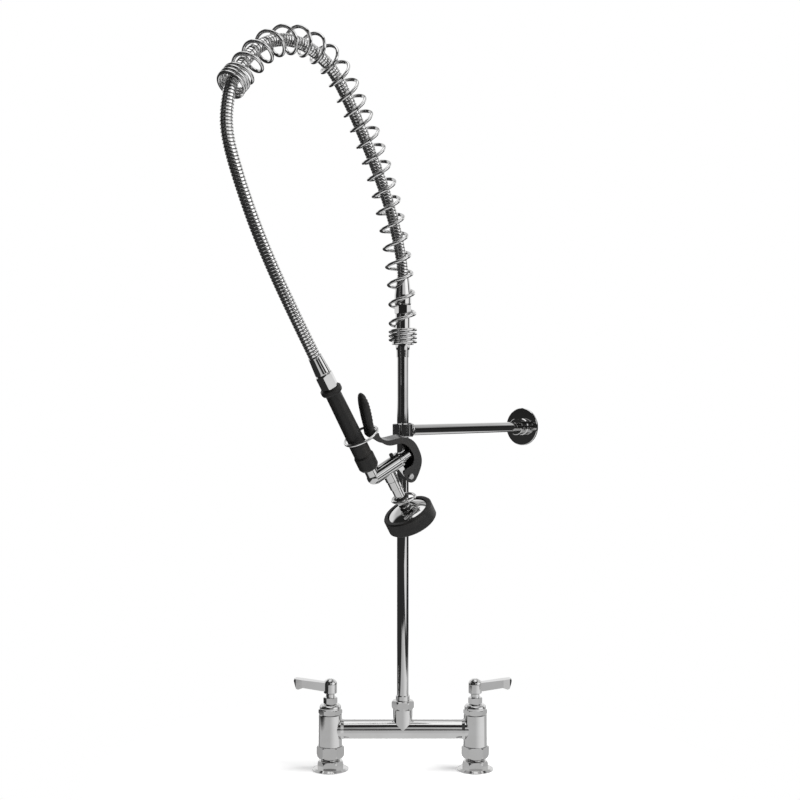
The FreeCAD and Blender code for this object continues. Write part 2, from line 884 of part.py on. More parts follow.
def hose_washer():
    low = adapter_top - hose_spigot_h - hose_washer_t
    return ring(hose_spigot_d, hose_bore + 1.0, low, low + hose_washer_t)


def hose_nut():
    """Hexagon with a plain spigot that stands in the adapter."""
    body = nut(hose_nut_flats, hose_nut_low, hose_nut_top, hose_bore)
    spigot = ring(hose_spigot_d, hose_bore, hose_nut_low - hose_spigot_h, hose_nut_low + 1)
    return body.fuse(spigot).removeSplitter()


def ferrule(d, mouth_d, straight, low, high):
    """Sleeve that narrows to its mouth; the hose stands in it to a step."""
    wide = d / 2
    step = high - hose_grip
    grip = hose_d / 2 + fit_gap
    return turned([
        (hose_bore / 2, low), (wide - 1.2, low), (wide, low + 1.6), (wide, low + straight),
        (mouth_d / 2, high - 1.0), (mouth_d / 2, high), (grip, high), (grip, step), (hose_bore / 2, step),
    ])


# Spring and the hose inside it
lean = math.radians(spring_bearing)
outward = V(-math.cos(lean), -math.sin(lean), 0)
spring_runs = [(None, spring_upright)]
for bend_radius, bend_angle in spring_bend:
    spring_runs.append((bend_radius, bend_radius * math.radians(bend_angle)))
spring_runs.append((None, spring_tail))
spring_course = course(V(0, 0, spring_low), UP, outward, spring_runs)
spring_length = length_of(spring_course)
closed_pitch = spring_wire + closed_gap
closed_length = closed_turns * closed_pitch
open_pitch = (spring_length - 2 * closed_length - 2 * spring_wire) / open_turns


def spring_axis(along):
    return on_course(spring_course, along)


def spring_along(turn):
    """Way along the axis: closed turns at both ends and open ones between."""
    if turn < closed_turns:
        return spring_wire + turn * closed_pitch
    opened = min(turn - closed_turns, open_turns)
    closed = max(0.0, turn - closed_turns - open_turns)
    return spring_wire + closed_length + opened * open_pitch + closed * closed_pitch


def drift(along):
    """Offset of the hose from the spring's axis and its slope, smooth between the rows."""
    for (a, offset_a, slope_a), (b, offset_b, slope_b) in zip(drift_rows, drift_rows[1:]):
        if along <= b or b == drift_rows[-1][0]:
            break
    span = b - a
    t = (along - a) / span
    offset = (
        offset_a * (1 + 2 * t) * (1 - t) ** 2 + slope_a * span * t * (1 - t) ** 2
        + offset_b * t * t * (3 - 2 * t) + slope_b * span * t * t * (t - 1))
    slope = (
        6 * t * (t - 1) * (offset_a - offset_b) / span
        + slope_a * (1 - t) * (1 - 3 * t) + slope_b * t * (3 * t - 2))
    return offset, slope


# The hose leaves its ferrule straight up, beside the axis of the spring, which already bends
first_radius = spring_bend[0][0]
bend_start = spring_low + spring_upright
rise = ferrule_top - bend_start
first_turn = math.atan2(rise, first_radius)
first_offset = first_radius - math.hypot(first_radius, rise)
first_slope = -math.tan(first_turn) * (1 - first_offset / first_radius)
first_row = (spring_upright + first_radius * first_turn, first_offset, first_slope)
drift_rows = [first_row] + hose_drift + [hose_mouth]


def upper_axis(along):
    """Centre and direction of the hose above the riser."""
    if along < hose_grip:
        return V(0, 0, ferrule_top - hose_grip + along), UP
    place = drift_rows[0][0] + along - hose_grip
    centre, heading, inward = spring_axis(place)
    offset, slope = drift(place)
    e = 0.01
    turned_heading = spring_axis(place + e)[1] - spring_axis(place - e)[1]
    bend = turned_heading.Length / (2 * e)
    return centre + inward * offset, (heading * (1 - bend * offset) + inward * slope).normalize()


upper_length = hose_grip + hose_mouth[0] - drift_rows[0][0]
mouth, mouth_way = upper_axis(upper_length)


# Spray valve frame: X along the barrel, Z up the handle, Y away from the viewer
barrel_way = spray_back.cross(handle_up).normalize()
handle_way = V(handle_up).normalize()
spray_turn = FreeCAD.Rotation(barrel_way, handle_way.cross(barrel_way), handle_way, "ZXY")
SPRAY = FreeCAD.Placement(spray_place, spray_turn)

lower_nut_low = grip_high + 0.2
lower_nut_high = lower_nut_low + lower_nut_h
lower_ferrule_high = lower_nut_high + lower_ferrule_h
hose_end = SPRAY.multVec(V(0, 0, lower_ferrule_high - hose_grip))
handle_corner = SPRAY.multVec(V(0, 0, lower_ferrule_high - hose_grip + handle_run))


def rounded_route(points):
    """Straight runs joined by tangent arcs; prints the radii."""
    made = []
    radii = []
    last = points[0]
    for before, corner, after in zip(points, points[1:], points[2:]):
        way_in = (corner - before).normalize()
        way_out = (after - corner).normalize()
        turn = way_in.getAngle(way_out)
        cut = 0.45 * min((corner - before).Length, (after - corner).Length)
        radius = cut / math.tan(turn / 2)
        radii.append(round(radius))
        start = corner - way_in * cut
        inward = (way_out - way_in * way_in.dot(way_out)).normalize()
        made.append(Run(last, way_in, inward, None, (start - last).Length))
        made.append(Run(start, way_in, inward, radius, radius * turn))
        last = corner + way_out * cut
    way = (points[-1] - last).normalize()
    made.append(Run(last, way, inward, None, (points[-1] - last).Length))
    print("free hose: radii", radii, "length", round(length_of(made), 1))
    return made


lower_course = rounded_route([mouth, mouth + mouth_way * mouth_run] + free_points + [handle_corner, hose_end])


# Spray valve, each piece made in its own frame
def valve_body():
    r = barrel_d / 2
    ear_w = lever_w - 2 * lever_wall - 2 * seat_gap
    whole = disc(inlet_tube_d, 0, inlet_tube_h).fuse([
        Part.makeSphere(elbow_d / 2),
        lying(disc(barrel_d, 0, barrel_length)),
    ])
    a = outlet_d / 2
    b = outlet_neck_d / 2
    c = outlet_tip_d / 2
    outlet = turned([
        (0, 0), (a, 0), (a, -outlet_step + 0.6), (b - 0.5, -outlet_step), (b, -outlet_step - 0.6),
        (b, -outlet_neck_end + 0.8), (c, -outlet_neck_end), (c, -outlet_end), (0, -outlet_end),
    ])
    x, z = pivot_at
    ear = slab(profile([
        (x - 11, -5), (x - ear_r, z), (x, z - ear_r, x + ear_r, z), (barrel_length, -r - 2),
        (barrel_length, -5),
    ]), ear_w)
    whole = whole.fuse([shifted(outlet, x=outlet_at), ear]).removeSplitter()
    whole = whole.cut(disc(inlet_bore, 0, inlet_tube_h))
    whole = whole.cut(lying(disc(barrel_bore, barrel_bore_start, barrel_length)))
    whole = whole.cut(shifted(disc(outlet_bore, -outlet_end, 0), x=outlet_at))
    whole = whole.cut(shifted(disc(stud_d, r - stud_depth, r + 1), x=stud_at))
    pin = Part.makeCylinder(pivot_d / 2 + fit_gap / 2, ear_w, V(x, -ear_w / 2, z), V(0, 1, 0))
    return whole.cut(pin)


def barrel_stud():
    r = stud_d / 2
    return shifted(turned([
        (0, barrel_d / 2 - stud_depth), (r, barrel_d / 2 - stud_depth), (r, stud_top - 1.2),
        (r - 0.4, stud_top - 0.3, r - 1.4, stud_top), (0, stud_top),
    ]), x=stud_at)


def valve_bonnet():
    bore = plunger_d / 2 + running_gap
    thread = barrel_bore / 2 - fit_gap
    rim = bonnet_ring_d / 2
    start = barrel_length
    cap = start + bonnet_ring_t
    end = cap + cap_length
    low = cap_low_d / 2
    high = cap_high_d / 2
    return lying(turned([
        (bore, start - bonnet_thread_l), (thread, start - bonnet_thread_l), (thread, start),
        (rim - 0.6, start), (rim, start + 0.6), (rim, cap - 0.6), (rim - 0.6, cap), (low, cap),
        (low, cap + 4.0), (high, cap + 5.0), (high, end - 1.0), (high - 1.0, end), (bore, end),
    ]))


def valve_seat():
    return lying(ring(barrel_bore - 2 * fit_gap, seat_hole, seat_at, seat_at + seat_t))


def seat_disc():
    return lying(ring(seat_disc_d, plunger_rod_d, seat_at - seat_disc_t, seat_at))


plunger_end = max(x for x, z in lever_outer) - lever_wall - push_gap


def plunger():
    pin = plunger_d / 2
    rod = plunger_rod_d / 2
    shoulder = seat_at + seat_t + 8
    return lying(turned([
        (0, seat_at - seat_disc_t), (rod, seat_at - seat_disc_t), (rod, shoulder), (pin, shoulder),
        (pin, plunger_end - 1), (pin - 1, plunger_end), (0, plunger_end),
    ]))


def plunger_spring():
    start = barrel_bore_start + coil_wire / 2 + 0.1
    end = seat_at - seat_disc_t - coil_wire / 2 - 0.1
    pitch = (end - start) / coil_turns

    def axis(along):
        return V(start + along, 0, 0), V(1, 0, 0), V(0, 0, 1)

    return coil(axis, lambda turn: turn * pitch, coil_turns, coil_d, coil_wire, 0)[0]


def pivot_screw():
    x, z = pivot_at
    half = lever_w / 2 + fit_gap
    end = half + pivot_head_t
    head = pivot_head_d / 2
    pin = turned([
        (0, -end), (head - rim_cut, -end), (head, -end + rim_cut), (head, -half), (pivot_d / 2, -half),
        (pivot_d / 2, half), (head, half), (head, end), (0, end),
    ])
    slot = Part.makeBox(2 * head, pivot_slot_w, pivot_slot_h, V(-head, -pivot_slot_w / 2, -end))
    place = FreeCAD.Placement(V(x, 0, z), FreeCAD.Rotation(V(1, 0, 0), -90))
    return put(pin.cut(slot), place)


def lever_solid():
    """Channel section: a web along the outer curve and a cheek to each side."""
    outer = smooth(lever_outer)
    inner = smooth(lever_inner)
    x, z = pivot_at
    end_arc = Part.Arc(outer.EndPoint, V(x - 3.6, 0, z - 7.8), inner.StartPoint)
    whole = slab(closed_face([outer, end_arc, inner]), lever_w)
    inside = smooth(beside(outer, lever_outer, -lever_wall))
    channel = closed_face([
        inside,
        Part.LineSegment(inside.EndPoint, V(x + 3, 0, z - 25)),
        Part.LineSegment(V(x + 3, 0, z - 25), V(-20, 0, z - 25)),
        Part.LineSegment(V(-20, 0, z - 25), V(-20, 0, 60)),
        Part.LineSegment(V(-20, 0, 60), V(inside.StartPoint.x, 0, 60)),
        Part.LineSegment(V(inside.StartPoint.x, 0, 60), inside.StartPoint),
    ])
    whole = whole.cut(slab(channel, lever_w - 2 * lever_wall))
    pin = Part.makeCylinder(pivot_d / 2 + running_gap, lever_w + 2, V(x, -lever_w / 2 - 1, z), V(0, 1, 0))
    return whole.fuse(slab(profile(tang), tang_w)).removeSplitter().cut(pin)


def trigger_grip():
    """Moulded grip with finger ridges, hollowed so that it nests round the handle when squeezed."""
    corners = list(trigger_left) + [(*trigger_tip, *trigger_right[0])]
    for a, b in zip(trigger_right, trigger_right[1:]):
        length = math.hypot(b[0] - a[0], b[1] - a[1])
        out_x = -(b[1] - a[1]) / length * ridge_height
        out_z = (b[0] - a[0]) / length * ridge_height
        corners.append(((a[0] + b[0]) / 2 + out_x, (a[1] + b[1]) / 2 + out_z, b[0], b[1]))
    corners.append(lever_outer[0])
    block = slab(profile(corners), trigger_w)
    low = V(trigger_right[-1][0] + ridge_height, 0, trigger_right[-1][1])
    high = V(trigger_right[1][0] + ridge_height, 0, trigger_right[1][1])
    way = (high - low).normalize()
    side = V(0, 1, 0).cross(way)
    barrel = Part.makeCylinder(trigger_round, 120, low - side * trigger_round - way * 40, way)
    block = block.common(barrel)
    x, z = pivot_at
    nest = disc(max(grip_d_low, sleeve_d) + 2 * nest_gap, 20, 130)
    nest.rotate(V(x, 0, z), V(0, 1, 0), squeeze_angle)
    return block.cut(nest).cut(lever_solid())


def handle_tube():
    tube = handle_tube_d / 2
    bore = handle_tube_bore / 2
    spigot = lower_nut_low + lower_spigot_h
    return turned([
        (bore, inlet_tube_h), (tube, inlet_tube_h), (tube, lower_nut_low), (tube - 1, lower_nut_low),
        (tube - 1, spigot), (bore, spigot),
    ])


def handle_grip():
    hole = handle_tube_d / 2 + fit_gap
    flare = grip_flare_d / 2
    neck = grip_high - grip_flare_h
    return turned([
        (hole, sleeve_high), (grip_d_low / 2, sleeve_high), (grip_d_high / 2, neck),
        (flare - 0.8, neck + 1.2), (flare, neck + 3.0), (flare, grip_high - 1.5), (flare - 1.5, grip_high),
        (hole, grip_high),
    ])


def lower_sleeve():
    hole = handle_tube_d / 2 + fit_gap
    r = sleeve_d / 2
    return turned([
        (hole, grip_collar_high), (r, grip_collar_high), (r, sleeve_high - 1.0), (r - 0.6, sleeve_high),
        (hole, sleeve_high),
    ])


def grip_collar():
    hole = handle_tube_d / 2 + fit_gap
    wide_hole = inlet_tube_d / 2 + fit_gap
    step = inlet_tube_h + 1
    r = grip_collar_d / 2
    return turned([
        (wide_hole, grip_collar_low), (r - 2.0, grip_collar_low), (r, grip_collar_low + 3.5),
        (r, grip_collar_high - 2.0), (r - 1.0, grip_collar_high), (hole, grip_collar_high), (hole, step),
        (wide_hole, step),
    ])


def lower_nut():
    spigot = handle_tube_d / 2 - 1 + fit_gap
    body = nut(lower_nut_flats, lower_nut_low, lower_nut_high, hose_bore)
    return body.cut(disc(2 * spigot, lower_nut_low, lower_nut_low + lower_spigot_h))


def torus(d, wire, place, tilt):
    whole = Part.makeTorus((d - wire) / 2, wire / 2)
    x, z = place
    return put(whole, FreeCAD.Placement(V(x, 0, z), FreeCAD.Rotation(V(0, 1, 0), tilt)))


# Spray head, heights down the outlet's axis
washer_low = -outlet_end - ring_washer_t
outlet_nut_low = washer_low - outlet_nut_h
dish_top = outlet_nut_low - dish_washer_t
dish_shoulder = dish_top - dish_dome
dish_rim = dish_shoulder - dish_skirt
bumper_top = dish_shoulder + 3.0
bumper_low = bumper_top - bumper_h
flange_low = dish_rim - face_t


def outlet_nut():
    r = outlet_nut_flats / 2
    top = washer_low
    body = nut(outlet_nut_flats, outlet_nut_low + 2.5, top - 3, outlet_bore)
    return body.fuse([
        ring(2 * r - 1.5, outlet_bore, top - 3.5, top),
        ring(2 * r + 1.0, outlet_bore, outlet_nut_low, outlet_nut_low + 3),
    ]).removeSplitter()


def spray_dish():
    neck = dish_washer_d / 2
    r = dish_d / 2
    inside = r - dish_wall
    crown = dish_top - dish_dome * 0.38
    return turned([
        (outlet_bore / 2, dish_top), (neck, dish_top), (r * 0.72, crown, r, dish_shoulder),
        (r, dish_rim), (inside, dish_rim), (inside, dish_shoulder - dish_wall * 0.7),
        (r * 0.7, crown - dish_wall, neck, dish_top - dish_wall),
        (outlet_bore / 2, dish_top - dish_wall),
    ])


def spray_face():
    r = dish_d / 2
    plug = r - dish_wall - fit_gap
    plate = turned([
        (0, dish_rim + face_plug_t), (plug, dish_rim + face_plug_t), (plug, dish_rim), (r, dish_rim),
        (r, flange_low), (0, flange_low),
    ])
    for radius, count in spray_rings:
        for i in range(count):
            a = 2 * math.pi * i / count
            hole = disc(spray_hole_d, flange_low - 1, dish_rim + face_plug_t + 1)
            plate = plate.cut(shifted(hole, radius * math.cos(a), radius * math.sin(a)))
    return plate


def bumper():
    r = bumper_d / 2
    groove = dish_d / 2 + 0.2
    mouth_r = bumper_mouth_d / 2
    lip = bumper_lip_d / 2
    return turned([
        (lip, bumper_top), (r - 1.5, bumper_top), (r, bumper_top - 2.0), (r, bumper_low + 1.5),
        (r - 1.5, bumper_low),
        (mouth_r + 1.2, bumper_low), (mouth_r, bumper_low + 1.2), (mouth_r, flange_low - 0.2),
        (groove, flange_low - 0.2), (groove, dish_shoulder + 0.3), (lip, dish_shoulder + 1.5),
    ])


# Every sub-part is written to its own file
os.makedirs("parts", exist_ok=True)

save("bridge_body", bridge_body())
both = (-valve_spacing / 2, valve_spacing / 2)
save("union_washers", *[shifted(union_washer(), x=x) for x in both])
save("seat_seals", *[shifted(seat_seal(), x=x) for x in both])
save("fixed_discs", *[shifted(fixed_disc(), x=x) for x in both])
for side, x in (("left", both[0]), ("right", both[1])):
    handle = lever_handle()
    save(side + "_inlet_flange", shifted(inlet_flange(), x=x))
    save(side + "_coupling_nut", shifted(coupling_nut(), x=x))
    save(side + "_bonnet", shifted(bonnet(), x=x))
    save(side + "_moving_disc", shifted(moving_disc(), x=x))
    save(side + "_spindle", shifted(spindle(), x=x))
    save(side + "_packing_nut", shifted(packing_nut(), x=x))
    save(side + "_lever", shifted(mirrored(handle) if side == "left" else handle, x=x))
    save(side + "_lever_screw", shifted(lever_screw(), x=x))
    save(side + "_index_cap", shifted(index_cap(), x=x))

save("riser_union_nut", union_nut())
save("riser_collar", riser_collar())
save("riser_o_ring", riser_seal())
save("riser_pipe", ring(riser_d, riser_bore, riser_low, riser_top))

save("bracket_clamp", put(bracket_clamp(), BRACKET))
save("bracket_bar", put(bracket_bar(), BRACKET))
save("wall_flange", put(wall_flange(), BRACKET))
clamp_screw = set_screw(clamp_screw_at, clamp_boss_d / 2 + 0.6, set_screw_d)
flange_screw = set_screw(flange_screw_at, flange_socket_d / 2 + 0.8, set_screw_d)
save("bracket_set_screws", put(clamp_screw, BRACKET), put(flange_screw, BRACKET))

save("riser_adapter", riser_adapter())
save("upper_washer", hose_washer())
save("upper_hose_nut", hose_nut())
save("upper_ferrule", ferrule(ferrule_d, ferrule_mouth_d, ferrule_straight, hose_nut_top, ferrule_top))

turns = 2 * closed_turns + open_turns
spring_solid, spring_path, spring_point = coil(
    spring_axis, spring_along, turns, spring_d, spring_wire, spring_phase)
save("spring", spring_solid)
print("spring: volume over section times length", round(
    spring_solid.Volume / (math.pi * spring_wire ** 2 / 4 * spring_path.Length), 4))
print("spring: least gap to itself", round(least_gap(spring_point, turns, spring_wire), 2))

upper_hose, upper_ribs = ribbed(upper_axis, upper_length, outward)
lower_hose, lower_ribs = ribbed(
    lambda along: on_course(lower_course, along), length_of(lower_course), V(1, 0, 0))
save("hose_upper", upper_hose)
save("hose_lower", lower_hose)
print("hose: ribs", upper_ribs, lower_ribs, "mouth", mouth, "way", mouth_way, "end", hose_end)

spray_pieces = {
    "lower_ferrule": ferrule(lower_ferrule_d, ferrule_mouth_d, 3.0, lower_nut_high, lower_ferrule_high),
    "lower_hose_nut": lower_nut(),
    "handle_tube": handle_tube(),
    "handle_grip": handle_grip(),
    "lower_sleeve": lower_sleeve(),
    "grip_collar": grip_collar(),
    "valve_body": valve_body(),
    "barrel_stud": barrel_stud(),
    "valve_bonnet": valve_bonnet(),
    "valve_seat": valve_seat(),
    "plunger": plunger(),
    "seat_disc": seat_disc(),
    "plunger_spring": plunger_spring(),
    "pivot_screw": pivot_screw(),
    "trigger_lever": lever_solid(),
    "trigger_grip": trigger_grip(),
    "hold_ring": torus(hold_ring_d, hold_ring_wire, hold_ring_at, 0),
    "hang_ring": torus(hang_ring_d, hang_ring_wire, hang_ring_at, hang_ring_tilt),
    "outlet_nut": shifted(outlet_nut(), x=outlet_at),
    "spray_dish": shifted(spray_dish(), x=outlet_at),
    "spray_face": shifted(spray_face(), x=outlet_at),
    "bumper": shifted(bumper(), x=outlet_at),
}
for name, solid in spray_pieces.items():
    save(name, put(solid, SPRAY))
upper_of_two = shifted(ring(ring_washer_d, outlet_bore, washer_low, -outlet_end), x=outlet_at)
lower_of_two = shifted(ring(dish_washer_d, outlet_bore, dish_top, outlet_nut_low), x=outlet_at)
save("outlet_washers", put(upper_of_two, SPRAY), put(lower_of_two, SPRAY))
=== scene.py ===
import math

import bpy
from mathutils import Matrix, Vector


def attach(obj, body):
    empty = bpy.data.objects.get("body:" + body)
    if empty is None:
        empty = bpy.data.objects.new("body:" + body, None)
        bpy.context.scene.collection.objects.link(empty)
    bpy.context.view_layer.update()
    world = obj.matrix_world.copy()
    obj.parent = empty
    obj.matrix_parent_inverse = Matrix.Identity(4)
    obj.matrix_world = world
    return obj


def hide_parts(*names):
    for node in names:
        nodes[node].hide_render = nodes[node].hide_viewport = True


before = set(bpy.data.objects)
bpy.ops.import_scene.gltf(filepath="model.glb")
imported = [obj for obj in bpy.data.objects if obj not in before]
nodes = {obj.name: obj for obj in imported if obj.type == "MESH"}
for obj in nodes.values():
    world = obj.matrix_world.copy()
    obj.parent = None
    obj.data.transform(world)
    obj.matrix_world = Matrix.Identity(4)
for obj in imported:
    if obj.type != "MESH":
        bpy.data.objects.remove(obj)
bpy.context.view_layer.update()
scene = bpy.context.scene

# Camera at the photograph's viewing angle, level, facing the crossbar
camera_data = bpy.data.cameras.new("camera")
camera_data.lens = 54.51
camera_data.sensor_width = 36.0
camera = bpy.data.objects.new("camera", camera_data)
camera.location = (-0.00393, -1.7, 0.5178)
camera.rotation_euler = (math.pi / 2, 0, 0)
scene.collection.objects.link(camera)
scene.camera = camera


# Materials
class Nodes:
    """Short way to add shader nodes and join them up."""

    def __init__(self, tree):
        self.tree = tree
        tree.nodes.clear()

    def set(self, socket, value):
        """Joins another node's output to the socket, or sets its own value."""
        if isinstance(value, bpy.types.NodeSocket):
            self.tree.links.new(value, socket)
        else:
            socket.default_value = value

    def add(self, kind, inputs=None, **settings):
        node = self.tree.nodes.new(kind)
        for key, value in settings.items():
            setattr(node, key, value)
        for key, value in (inputs or {}).items():
            self.set(node.inputs[key], value)
        return node

    def math(self, operation, a, b=0.0, c=0.0, clamp=False):
        node = self.add("ShaderNodeMath", {0: a, 1: b, 2: c}, operation=operation, use_clamp=clamp)
        return node.outputs[0]

    def add_up(self, *values):
        return self.chain("ADD", values)

    def product(self, *values):
        return self.chain("MULTIPLY", values)

    def largest(self, *values):
        return self.chain("MAXIMUM", values)

    def chain(self, operation, values):
        whole = values[0]
        for value in values[1:]:
            whole = self.math(operation, whole, value)
        return whole

    def step(self, value, low, high, out_low=0.0, out_high=1.0):
        """Smooth ramp of a value between two limits."""
        node = self.add("ShaderNodeMapRange", {
            "Value": value, "From Min": low, "From Max": high, "To Min": out_low, "To Max": out_high,
        }, interpolation_type="SMOOTHSTEP")
        return node.outputs[0]

    def band(self, value, low, high, soft):
        """One between two limits, with soft edges."""
        rise = self.step(value, low - soft, low + soft)
        fall = self.step(value, high - soft, high + soft, 1.0, 0.0)
        return self.product(rise, fall)

    def place(self):
        return self.add("ShaderNodeTexCoord").outputs["Object"]

    def noise(self, scale, detail=2.0, roughness=0.5, stretch=None, distortion=0.0):
        place = self.place()
        if stretch:
            place = self.add("ShaderNodeMapping", {"Vector": place, "Scale": stretch}).outputs[0]
        return self.add("ShaderNodeTexNoise", {
            "Vector": place, "Scale": scale, "Detail": detail, "Roughness": roughness,
            "Distortion": distortion,
        }).outputs["Fac"]

    def mix(self, factor, a, b):
        node = self.add("ShaderNodeMix", data_type="RGBA")
        for index, value in ((0, factor), (6, a), (7, b)):
            self.set(node.inputs[index], value)
        return node.outputs[2]

    def bump(self, height, strength, distance, normal=None):
        inputs = {"Height": height, "Strength": strength, "Distance": distance}
        if normal is not None:
            inputs["Normal"] = normal
        return self.add("ShaderNodeBump", inputs).outputs[0]


def material(name):
    made = bpy.data.materials.new(name)
    made.use_nodes = True
    tree = Nodes(made.node_tree)
    shader = tree.add("ShaderNodeBsdfPrincipled")
    tree.output = tree.add("ShaderNodeOutputMaterial", {0: shader.outputs[0]})
    return made, tree, shader


def plug(tree, shader, **sockets):
    for key, value in sockets.items():
        tree.set(shader.inputs[key.replace("_", " ")], value)


def grey(value, warm=0.0):
    return (value + warm, value, value - warm, 1.0)


def chrome(name, tone, smooth, smeared, wave, wave_scale):
    """Plated metal: smears, spots and fine wiping marks vary its gloss, and casting leaves it wavy."""
    made, tree, shader = material(name)
    smears = tree.noise(24.0, detail=4.0, roughness=0.62, distortion=0.6)
    wiping = tree.noise(420.0, stretch=(1.0, 1.0, 0.12))
    spots = tree.add("ShaderNodeTexVoronoi", {
        "Vector": tree.place(), "Scale": 190.0, "Randomness": 1.0,
    }).outputs["Distance"]
    spotted = tree.product(tree.step(spots, 0.16, 0.05), tree.step(smears, 0.55, 0.7))
    gloss = tree.add_up(
        tree.step(smears, 0.35, 0.75, smooth, smeared),
        tree.product(tree.step(wiping, 0.5, 0.8), 0.025),
        tree.product(spotted, 0.12))
    colour = tree.mix(tree.step(smears, 0.3, 0.8), grey(tone), grey(tone * 0.93, 0.004))
    waves = tree.bump(tree.noise(wave_scale), strength=1.0, distance=wave)
    fine = tree.bump(wiping, strength=0.05, distance=0.00002, normal=waves)
    plug(tree, shader, Base_Color=colour, Metallic=1.0, Roughness=gloss, Normal=fine)
    return made


def drawn_wire(name):
    """Bright spring wire with fine drawing marks."""
    made, tree, shader = material(name)
    patches = tree.noise(60.0, detail=3.0, roughness=0.6)
    marks = tree.noise(900.0, roughness=0.6)
    colour = tree.mix(tree.step(patches, 0.3, 0.75), grey(0.80), grey(0.72, 0.004))
    gloss = tree.add_up(tree.step(patches, 0.3, 0.8, 0.02, 0.06), tree.product(marks, 0.03))
    normal = tree.bump(marks, strength=0.15, distance=0.00002)
    plug(tree, shader, Base_Color=colour, Metallic=1.0, Roughness=gloss, Normal=normal)
    return made


def hose_metal(name):
    """Interlocked strip: bright and glossy on the crests, rougher in the grooves between them, which are
    painted dark as shade.
    """
    made, tree, shader = material(name)
    depth = tree.add("ShaderNodeVertexColor", layer_name="depth").outputs["Color"]
    patches = tree.noise(140.0, detail=3.0, roughness=0.6)
    marks = tree.noise(1500.0, roughness=0.6)
    crest = tree.mix(tree.step(patches, 0.35, 0.7), grey(0.88), grey(0.78, 0.004))
    # Painted shade: the deeper a point lies in a groove, the darker its colour
    colour = tree.mix(depth, crest, grey(0.10, 0.004))
    gloss = tree.add_up(tree.step(patches, 0.3, 0.8, 0.07, 0.14), tree.product(depth, 0.25))
    normal = tree.bump(marks, strength=0.3, distance=0.00003)
    plug(tree, shader, Base_Color=colour, Metallic=1.0, Roughness=gloss, Normal=normal)
    return made


def moulded(name, tone, rough, grain, grain_scale, dust=0.0, coat=0.0):
    """Black plastic, rubber or powder coat: fine grain, a little dust and handling shine."""
    made, tree, shader = material(name)
    patches = tree.noise(38.0, detail=3.0, roughness=0.6)
    texture = tree.noise(grain_scale, detail=3.0, roughness=0.65)
    colour = tree.mix(tree.step(patches, 0.35, 0.75), grey(tone), grey(tone * 1.5 + dust, 0.001))
    gloss = tree.add_up(
        tree.step(patches, 0.3, 0.8, rough, rough + 0.12), tree.product(texture, 0.06))
    normal = tree.bump(texture, strength=0.5, distance=grain)
    plug(tree, shader, Base_Color=colour, Roughness=gloss, Normal=normal, Specular_IOR_Level=0.32,
         Coat_Weight=coat, Coat_Roughness=0.12)
    return made


def brushed(name, tone, rough):
    """Stainless steel with fine turning marks."""
    made, tree, shader = material(name)
    patches = tree.noise(70.0, detail=3.0, roughness=0.6)
    marks = tree.noise(2200.0, roughness=0.6, stretch=(1.0, 0.15, 1.0))
    colour = tree.mix(tree.step(patches, 0.3, 0.75), grey(tone), grey(tone * 0.88, 0.004))
    gloss = tree.add_up(
        tree.step(patches, 0.3, 0.8, rough, rough + 0.08), tree.product(marks, 0.08))
    normal = tree.bump(marks, strength=0.3, distance=0.00003)
    plug(tree, shader, Base_Color=colour, Metallic=1.0, Roughness=gloss, Normal=normal)
    return made


plating = 0.64
cast_chrome = chrome("cast_chrome", plating, smooth=0.045, smeared=0.09, wave=0.00009, wave_scale=60.0)
tube_chrome = chrome("tube_chrome", plating, smooth=0.03, smeared=0.07, wave=0.00003, wave_scale=25.0)
small_chrome = chrome("small_chrome", plating, smooth=0.04, smeared=0.08, wave=0.00002, wave_scale=90.0)
wire_steel = drawn_wire("wire_steel")
strip_steel = hose_metal("strip_steel")
fastener_steel = brushed("fastener_steel", tone=0.66, rough=0.18)
plate_steel = brushed("plate_steel", tone=0.70, rough=0.22)
grip_black = moulded("grip_black", 0.008, 0.34, grain=0.00006, grain_scale=1400.0)
trigger_black = moulded("trigger_black", 0.008, 0.30, grain=0.00005, grain_scale=1600.0)
lever_black = moulded("lever_black", 0.008, 0.24, grain=0.00008, grain_scale=700.0, coat=0.35)
bumper_rubber = moulded("bumper_rubber", 0.009, 0.42, grain=0.00006, grain_scale=1100.0, dust=0.004)
seal_rubber = moulded("seal_rubber", 0.015, 0.50, grain=0.00004, grain_scale=1500.0, dust=0.004)
white_ceramic = moulded("white_ceramic", 0.70, 0.12, grain=0.00001, grain_scale=1500.0)

finishes = {
    cast_chrome: ["bridge_body", "valve_body", "spray_dish"],
    tube_chrome: ["riser_pipe", "bracket_bar", "wall_flange", "handle_tube"],
    small_chrome: [
        "riser_union_nut", "riser_collar", "bracket_clamp", "riser_adapter", "upper_hose_nut",
        "upper_ferrule", "lower_ferrule", "lower_hose_nut", "valve_bonnet", "outlet_nut",
    ],
    wire_steel: ["hold_ring", "hang_ring"],
    fastener_steel: [
        "left_lever_screw", "right_lever_screw", "bracket_set_screws", "valve_seat", "plunger",
        "plunger_spring", "pivot_screw",
    ],
    plate_steel: ["spray_face"],
    grip_black: ["handle_grip", "lower_sleeve", "grip_collar", "barrel_stud"],
    trigger_black: ["trigger_grip"],
    lever_black: ["trigger_lever"],
    bumper_rubber: ["bumper"],
    seal_rubber: [
        "union_washers", "seat_seals", "riser_o_ring", "upper_washer", "outlet_washers", "seat_disc",
    ],
    white_ceramic: ["fixed_discs", "left_moving_disc", "right_moving_disc"],
}
for hand in ("left_", "right_"):
    finishes[cast_chrome] += [hand + part for part in ("inlet_flange", "bonnet", "lever")]
    finishes[small_chrome] += [
        hand + part for part in ("coupling_nut", "spindle", "packing_nut", "index_cap")]
for finish, names in finishes.items():
    for name in names:
        slots = nodes[name].data.materials
        if slots:
            for i in range(len(slots)):
                slots[i] = finish
        else:
            slots.append(finish)


